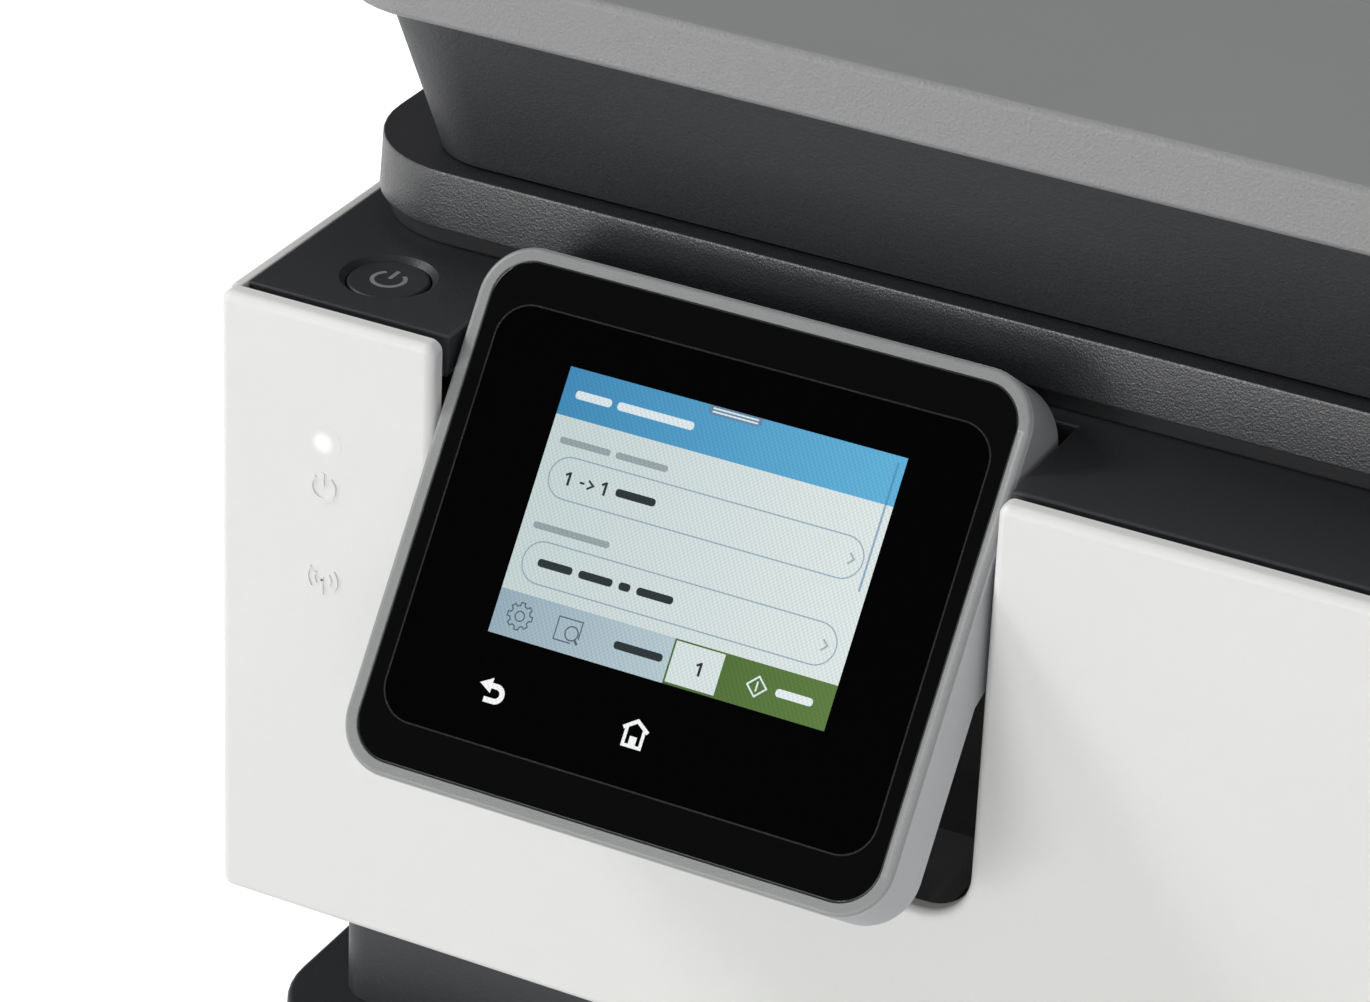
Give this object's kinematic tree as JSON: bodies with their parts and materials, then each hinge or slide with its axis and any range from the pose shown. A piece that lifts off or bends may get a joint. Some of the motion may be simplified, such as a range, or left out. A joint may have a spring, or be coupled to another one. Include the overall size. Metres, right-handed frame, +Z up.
{
  "type": "inkjet all-in-one printer",
  "caption": "Desktop all-in-one inkjet printer: white body on a dark base, tilting touch panel on the front door, flatbed scanner lid with document feeder, paper tray and output bay.",
  "frame": {"origin": "on the floor under the middle of the bounding box, touch panel tilted out", "axes": "+X to the machine's right across its width, -Y is the front, +Z is up"},
  "size_m": [0.439, 0.3597, 0.2779],
  "materials": {
    "white_plastic": "fine satin grain",
    "dark_plastic": "spark-eroded grain",
    "slab_plastic": "fine grain",
    "panel_silver": "satin",
    "panel_grey": "satin",
    "black_plastic": "satin",
    "touch_glass": "polished, printed black behind",
    "display": "lit display",
    "rubber": "matt",
    "sheet_steel": "zinc-plated sheet",
    "polished_steel": "ground",
    "motor_can": "plated can",
    "circuit_board": "solder mask",
    "supply_case": "moulded",
    "socket_metal": "tinned",
    "scan_glass": "float glass",
    "pad_white": "soft white backing",
    "screw_steel": "black zinc",
    "gear_plastic": "natural acetal",
    "inner_grey": "moulded",
    "ink_black": "moulded",
    "ink_cyan": "moulded",
    "ink_magenta": "moulded",
    "ink_yellow": "moulded"
  },
  "bodies": {
    "housing": {"base_shell": "dark_plastic", "rubber_feet": "rubber", "neck_frame": "dark_plastic", "lower_deck": "dark_plastic", "left_side_panel": "white_plastic", "right_side_panel": "white_plastic", "top_deck": "dark_plastic", "rear_panel": "dark_plastic", "case_screws": "screw_steel", "left_chassis_plate": "sheet_steel", "right_chassis_plate": "sheet_steel", "carriage_beam": "sheet_steel", "guide_rod": "polished_steel", "carriage_belt": "rubber", "carriage_motor": "motor_can", "platen": "black_plastic", "service_station": "inner_grey", "paper_motor": "motor_can", "roller_belt": "rubber", "output_tray": "dark_plastic", "main_board": "circuit_board", "data_sockets": "socket_metal", "power_supply": "supply_case", "scanner_base": "dark_plastic", "scanner_glass": "scan_glass", "lid_hinges": "dark_plastic"},
    "door": {"front_door": "white_plastic", "door_inner_panel": "black_plastic"},
    "control_panel": {"panel_frame": "panel_silver", "panel_glass": "touch_glass", "lcd_module": "display", "panel_housing": "panel_grey"},
    "power_button": {"power_button": "dark_plastic"},
    "carriage": {"carriage": "inner_grey", "print_head": "black_plastic", "black_cartridge": "ink_black", "yellow_cartridge": "ink_yellow", "magenta_cartridge": "ink_magenta", "cyan_cartridge": "ink_cyan"},
    "motor_pulley": {"motor_pulley": "gear_plastic"},
    "idler_pulley": {"idler_pulley": "gear_plastic"},
    "feed_roller": {"feed_roller": "rubber"},
    "exit_roller": {"exit_roller": "rubber"},
    "motor_pinion": {"motor_pinion": "gear_plastic"},
    "pickup_roller": {"pickup_roller": "rubber"},
    "paper_tray": {"paper_tray": "dark_plastic"},
    "left_width_guide": {"left_width_guide": "inner_grey"},
    "right_width_guide": {"right_width_guide": "inner_grey"},
    "length_guide": {"length_guide": "inner_grey"},
    "output_extension": {"output_extension": "dark_plastic"},
    "rear_door": {"rear_door": "dark_plastic"},
    "scan_bar": {"scan_bar": "black_plastic"},
    "lid": {"lid_shell": "dark_plastic", "lid_cover": "slab_plastic", "lid_pad": "pad_white"},
    "feeder_cover": {"feeder_cover": "slab_plastic"},
    "document_tray": {"document_tray": "dark_plastic"},
    "front_document_guide": {"front_document_guide": "inner_grey"},
    "rear_document_guide": {"rear_document_guide": "inner_grey"},
    "feeder_roller": {"feeder_roller": "rubber"}
  },
  "joints": [
    {"name": "front_door_hinge", "type": "hinge", "parent": "housing", "child": "door", "pos_m": [0, -0.14398, 0.1264], "axis": [1, 0, 0], "range_deg": [0, 66]},
    {"name": "panel_tilt", "type": "hinge", "parent": "door", "child": "control_panel", "pos_m": [-0.1367, -0.14458, 0.2121], "axis": [1, 0, 0], "range_deg": [0, 35]},
    {"name": "power_press", "type": "slide", "parent": "housing", "child": "power_button", "axis": [0, 0, -1], "range_m": [0, 0.001], "stiffness_N_per_m": 300, "springref_m": -0.001},
    {"name": "carriage_slide", "type": "slide", "parent": "housing", "child": "carriage", "axis": [-1, 0, 0], "range_m": [0, 0.27]},
    {"name": "motor_pulley_spin", "type": "hinge", "parent": "housing", "child": "motor_pulley", "pos_m": [-0.183, -0.02448, 0.165], "axis": [0, 1, 0], "range_deg": [0, 2460]},
    {"name": "idler_pulley_spin", "type": "hinge", "parent": "housing", "child": "idler_pulley", "pos_m": [0.183, -0.02448, 0.165], "axis": [0, 1, 0], "range_deg": [0, 2460]},
    {"name": "feed_spin", "type": "hinge", "parent": "housing", "child": "feed_roller", "pos_m": [0, -0.00798, 0.109], "axis": [1, 0, 0], "continuous": true},
    {"name": "exit_spin", "type": "hinge", "parent": "housing", "child": "exit_roller", "pos_m": [0, -0.10198, 0.1105], "axis": [1, 0, 0], "continuous": true},
    {"name": "pinion_spin", "type": "hinge", "parent": "housing", "child": "motor_pinion", "pos_m": [-0.19, 0.01602, 0.109], "axis": [1, 0, 0], "continuous": true},
    {"name": "pickup_spin", "type": "hinge", "parent": "housing", "child": "pickup_roller", "pos_m": [0, 0.08502, 0.072], "axis": [1, 0, 0], "continuous": true},
    {"name": "paper_tray_slide", "type": "slide", "parent": "housing", "child": "paper_tray", "axis": [0, -1, 0], "range_m": [0, 0.25]},
    {"name": "left_width_slide", "type": "slide", "parent": "paper_tray", "child": "left_width_guide", "axis": [1, 0, 0], "range_m": [0, 0.04]},
    {"name": "right_width_slide", "type": "slide", "parent": "paper_tray", "child": "right_width_guide", "axis": [-1, 0, 0], "range_m": [0, 0.04]},
    {"name": "length_slide", "type": "slide", "parent": "paper_tray", "child": "length_guide", "axis": [0, 1, 0], "range_m": [0, 0.08]},
    {"name": "output_slide", "type": "slide", "parent": "housing", "child": "output_extension", "axis": [0, -1, 0], "range_m": [0, 0.12]},
    {"name": "rear_door_hinge", "type": "hinge", "parent": "housing", "child": "rear_door", "pos_m": [0, 0.17762, 0.1368], "axis": [-1, 0, 0], "range_deg": [0, 70]},
    {"name": "scan_slide", "type": "slide", "parent": "housing", "child": "scan_bar", "axis": [1, 0, 0], "range_m": [0, 0.3]},
    {"name": "lid_hinge", "type": "hinge", "parent": "housing", "child": "lid", "pos_m": [0, 0.16902, 0.2447], "axis": [-1, 0, 0], "range_deg": [0, 65]},
    {"name": "feeder_cover_hinge", "type": "hinge", "parent": "lid", "child": "feeder_cover", "pos_m": [-0.2002, 0, 0.27495], "axis": [0, -1, 0], "range_deg": [0, 75]},
    {"name": "document_tray_hinge", "type": "hinge", "parent": "lid", "child": "document_tray", "pos_m": [-0.086, 0, 0.27165], "axis": [0, -1, 0], "range_deg": [0, 30]},
    {"name": "front_guide_slide", "type": "slide", "parent": "document_tray", "child": "front_document_guide", "axis": [0, 1, 0], "range_m": [0, 0.04]},
    {"name": "rear_guide_slide", "type": "slide", "parent": "document_tray", "child": "rear_document_guide", "axis": [0, -1, 0], "range_m": [0, 0.04]},
    {"name": "feeder_spin", "type": "hinge", "parent": "lid", "child": "feeder_roller", "pos_m": [-0.1415, 0, 0.26295], "axis": [0, 1, 0], "continuous": true}
  ],
  "couplings": [
    {"joint": "motor_pulley_spin", "follows": "carriage_slide", "rad_per_m": 158.73},
    {"joint": "idler_pulley_spin", "follows": "carriage_slide", "rad_per_m": 158.73},
    {"joint": "exit_spin", "follows": "feed_spin", "ratio": 1.2308},
    {"joint": "pinion_spin", "follows": "feed_spin", "ratio": -4},
    {"joint": "right_width_slide", "follows": "left_width_slide", "ratio": 1},
    {"joint": "rear_guide_slide", "follows": "front_guide_slide", "ratio": 1}
  ]
}
